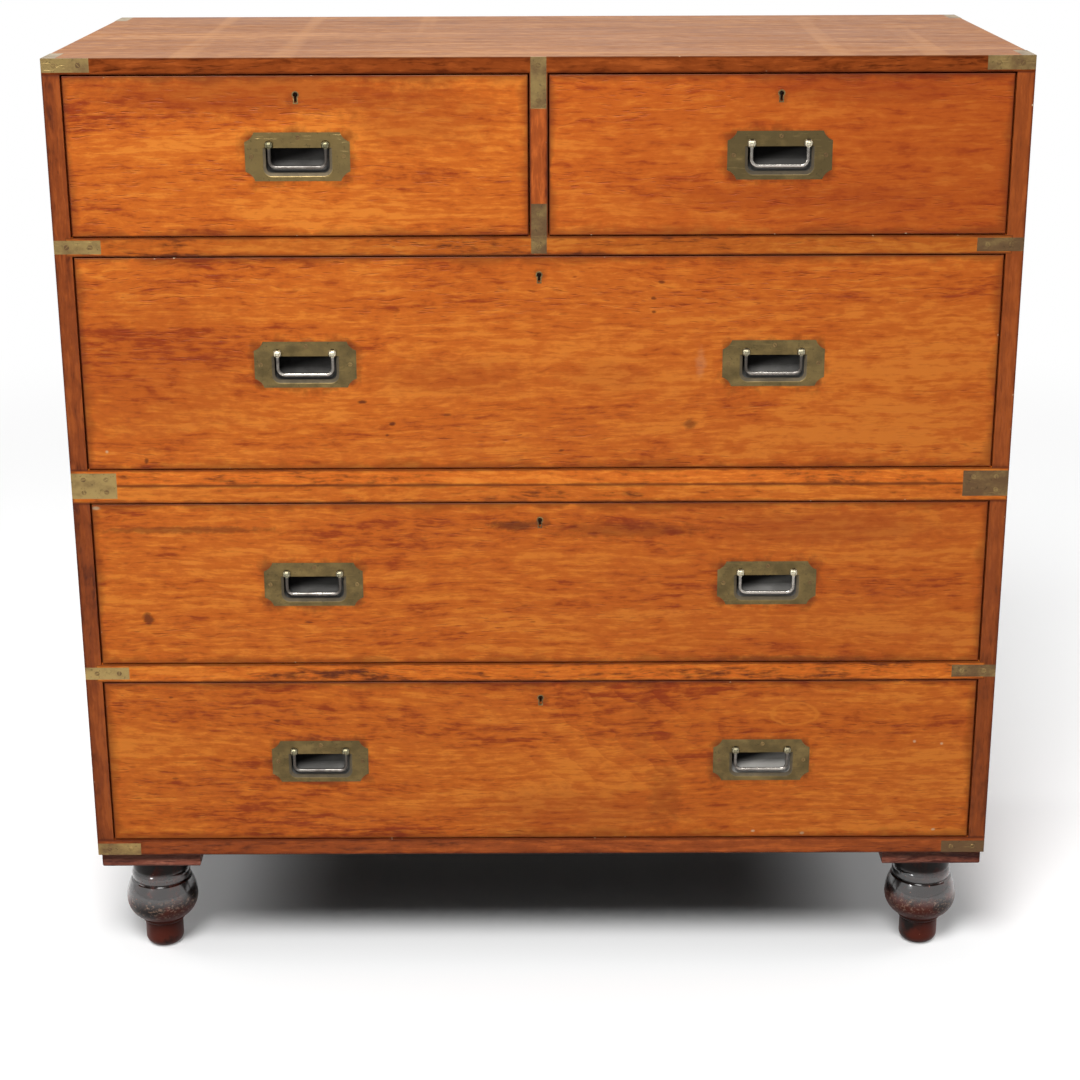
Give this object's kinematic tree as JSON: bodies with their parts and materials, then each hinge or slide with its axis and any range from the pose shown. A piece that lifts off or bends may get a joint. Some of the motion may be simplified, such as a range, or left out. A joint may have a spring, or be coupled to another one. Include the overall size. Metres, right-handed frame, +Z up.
{
  "type": "campaign chest",
  "caption": "Brass-bound campaign chest in an upper and a lower section, with short and long drawers, recessed bail pulls, flush carrying handles and turned bulb feet.",
  "frame": {"origin": "on the floor, under the middle of the chest's outline", "axes": "+Z up, the drawer fronts face -Y, +X to the right of someone who faces them"},
  "size_m": [1.0004, 0.4582, 1.0165],
  "materials": {
    "case_wood": "polished",
    "drawer_front_wood": "polished",
    "plain_wood": "unpolished",
    "block_wood": "polished",
    "ebonised_wood": "ebonised and polished",
    "brass": "dull and aged",
    "bail_metal": "worn",
    "iron": "dull"
  },
  "bodies": {
    "lower_section": {"lower_sides": "case_wood", "lower_top_board": "case_wood", "lower_bottom_board": "case_wood", "lower_back_panel": "plain_wood", "lower_drawer_rail": "case_wood", "lower_drawer_runners": "plain_wood", "lower_brass_mounts": "brass", "locating_dowels": "plain_wood", "foot_blocks": "block_wood", "turned_feet": "ebonised_wood"},
    "upper_section": {"upper_sides": "case_wood", "upper_top_board": "case_wood", "upper_bottom_board": "case_wood", "upper_back_panel": "plain_wood", "upper_drawer_rail": "case_wood", "centre_divider": "case_wood", "upper_drawer_runners": "plain_wood", "upper_brass_mounts": "brass"},
    "top_left_drawer": {"top_left_drawer_front": "drawer_front_wood", "top_left_drawer_box": "plain_wood", "top_left_drawer_bottom": "plain_wood", "top_left_drawer_lock": "iron", "top_left_drawer_pull_plates": "brass"},
    "top_left_drawer_bolt": {"top_left_drawer_lock_bolt": "iron"},
    "top_left_bail": {"top_left_bail": "bail_metal"},
    "top_right_drawer": {"top_right_drawer_front": "drawer_front_wood", "top_right_drawer_box": "plain_wood", "top_right_drawer_bottom": "plain_wood", "top_right_drawer_lock": "iron", "top_right_drawer_pull_plates": "brass"},
    "top_right_drawer_bolt": {"top_right_drawer_lock_bolt": "iron"},
    "top_right_bail": {"top_right_bail": "bail_metal"},
    "second_drawer": {"second_drawer_front": "drawer_front_wood", "second_drawer_box": "plain_wood", "second_drawer_bottom": "plain_wood", "second_drawer_lock": "iron", "second_drawer_pull_plates": "brass"},
    "second_drawer_bolt": {"second_drawer_lock_bolt": "iron"},
    "second_left_bail": {"second_left_bail": "bail_metal"},
    "second_right_bail": {"second_right_bail": "bail_metal"},
    "third_drawer": {"third_drawer_front": "drawer_front_wood", "third_drawer_box": "plain_wood", "third_drawer_bottom": "plain_wood", "third_drawer_lock": "iron", "third_drawer_pull_plates": "brass"},
    "third_drawer_bolt": {"third_drawer_lock_bolt": "iron"},
    "third_left_bail": {"third_left_bail": "bail_metal"},
    "third_right_bail": {"third_right_bail": "bail_metal"},
    "bottom_drawer": {"bottom_drawer_front": "drawer_front_wood", "bottom_drawer_box": "plain_wood", "bottom_drawer_bottom": "plain_wood", "bottom_drawer_lock": "iron", "bottom_drawer_pull_plates": "brass"},
    "bottom_drawer_bolt": {"bottom_drawer_lock_bolt": "iron"},
    "bottom_left_bail": {"bottom_left_bail": "bail_metal"},
    "bottom_right_bail": {"bottom_right_bail": "bail_metal"},
    "lower_left_carrying_bail": {"lower_left_carrying_bail": "bail_metal"},
    "lower_right_carrying_bail": {"lower_right_carrying_bail": "bail_metal"},
    "upper_left_carrying_bail": {"upper_left_carrying_bail": "bail_metal"},
    "upper_right_carrying_bail": {"upper_right_carrying_bail": "bail_metal"}
  },
  "joints": [
    {"name": "upper section lift", "type": "slide", "parent": "lower_section", "child": "upper_section", "axis": [0, 0, 1], "range_m": [0, 0.1]},
    {"name": "top left drawer slide", "type": "slide", "parent": "upper_section", "child": "top_left_drawer", "axis": [0, -1, 0], "range_m": [0, 0.34]},
    {"name": "top left drawer bolt", "type": "slide", "parent": "top_left_drawer", "child": "top_left_drawer_bolt", "axis": [0, 0, 1], "range_m": [0, 0.007]},
    {"name": "top left bail swing", "type": "hinge", "parent": "top_left_drawer", "child": "top_left_bail", "pos_m": [-0.243, -0.22487, 0.93025], "axis": [-1, 0, 0], "range_deg": [0, 100]},
    {"name": "top right drawer slide", "type": "slide", "parent": "upper_section", "child": "top_right_drawer", "axis": [0, -1, 0], "range_m": [0, 0.34]},
    {"name": "top right drawer bolt", "type": "slide", "parent": "top_right_drawer", "child": "top_right_drawer_bolt", "axis": [0, 0, 1], "range_m": [0, 0.007]},
    {"name": "top right bail swing", "type": "hinge", "parent": "top_right_drawer", "child": "top_right_bail", "pos_m": [0.243, -0.22487, 0.93025], "axis": [-1, 0, 0], "range_deg": [0, 100]},
    {"name": "second drawer slide", "type": "slide", "parent": "upper_section", "child": "second_drawer", "axis": [0, -1, 0], "range_m": [0, 0.34]},
    {"name": "second drawer bolt", "type": "slide", "parent": "second_drawer", "child": "second_drawer_bolt", "axis": [0, 0, 1], "range_m": [0, 0.007]},
    {"name": "second left bail swing", "type": "hinge", "parent": "second_drawer", "child": "second_left_bail", "pos_m": [-0.243, -0.22487, 0.71525], "axis": [-1, 0, 0], "range_deg": [0, 100]},
    {"name": "second right bail swing", "type": "hinge", "parent": "second_drawer", "child": "second_right_bail", "pos_m": [0.243, -0.22487, 0.71525], "axis": [-1, 0, 0], "range_deg": [0, 100]},
    {"name": "third drawer slide", "type": "slide", "parent": "lower_section", "child": "third_drawer", "axis": [0, -1, 0], "range_m": [0, 0.34]},
    {"name": "third drawer bolt", "type": "slide", "parent": "third_drawer", "child": "third_drawer_bolt", "axis": [0, 0, 1], "range_m": [0, 0.007]},
    {"name": "third left bail swing", "type": "hinge", "parent": "third_drawer", "child": "third_left_bail", "pos_m": [-0.243, -0.22487, 0.47325], "axis": [-1, 0, 0], "range_deg": [0, 100]},
    {"name": "third right bail swing", "type": "hinge", "parent": "third_drawer", "child": "third_right_bail", "pos_m": [0.243, -0.22487, 0.47325], "axis": [-1, 0, 0], "range_deg": [0, 100]},
    {"name": "bottom drawer slide", "type": "slide", "parent": "lower_section", "child": "bottom_drawer", "axis": [0, -1, 0], "range_m": [0, 0.34]},
    {"name": "bottom drawer bolt", "type": "slide", "parent": "bottom_drawer", "child": "bottom_drawer_bolt", "axis": [0, 0, 1], "range_m": [0, 0.007]},
    {"name": "bottom left bail swing", "type": "hinge", "parent": "bottom_drawer", "child": "bottom_left_bail", "pos_m": [-0.243, -0.22487, 0.26625], "axis": [-1, 0, 0], "range_deg": [0, 100]},
    {"name": "bottom right bail swing", "type": "hinge", "parent": "bottom_drawer", "child": "bottom_right_bail", "pos_m": [0.243, -0.22487, 0.26625], "axis": [-1, 0, 0], "range_deg": [0, 100]},
    {"name": "lower left carrying bail swing", "type": "hinge", "parent": "lower_section", "child": "lower_left_carrying_bail", "pos_m": [-0.495, 0.00162, 0.3728], "axis": [0, 1, 0], "range_deg": [0, 100]},
    {"name": "lower right carrying bail swing", "type": "hinge", "parent": "lower_section", "child": "lower_right_carrying_bail", "pos_m": [0.495, 0.00162, 0.3728], "axis": [0, -1, 0], "range_deg": [0, 100]},
    {"name": "upper left carrying bail swing", "type": "hinge", "parent": "upper_section", "child": "upper_left_carrying_bail", "pos_m": [-0.495, 0.00162, 0.8103], "axis": [0, 1, 0], "range_deg": [0, 100]},
    {"name": "upper right carrying bail swing", "type": "hinge", "parent": "upper_section", "child": "upper_right_carrying_bail", "pos_m": [0.495, 0.00162, 0.8103], "axis": [0, -1, 0], "range_deg": [0, 100]}
  ]
}
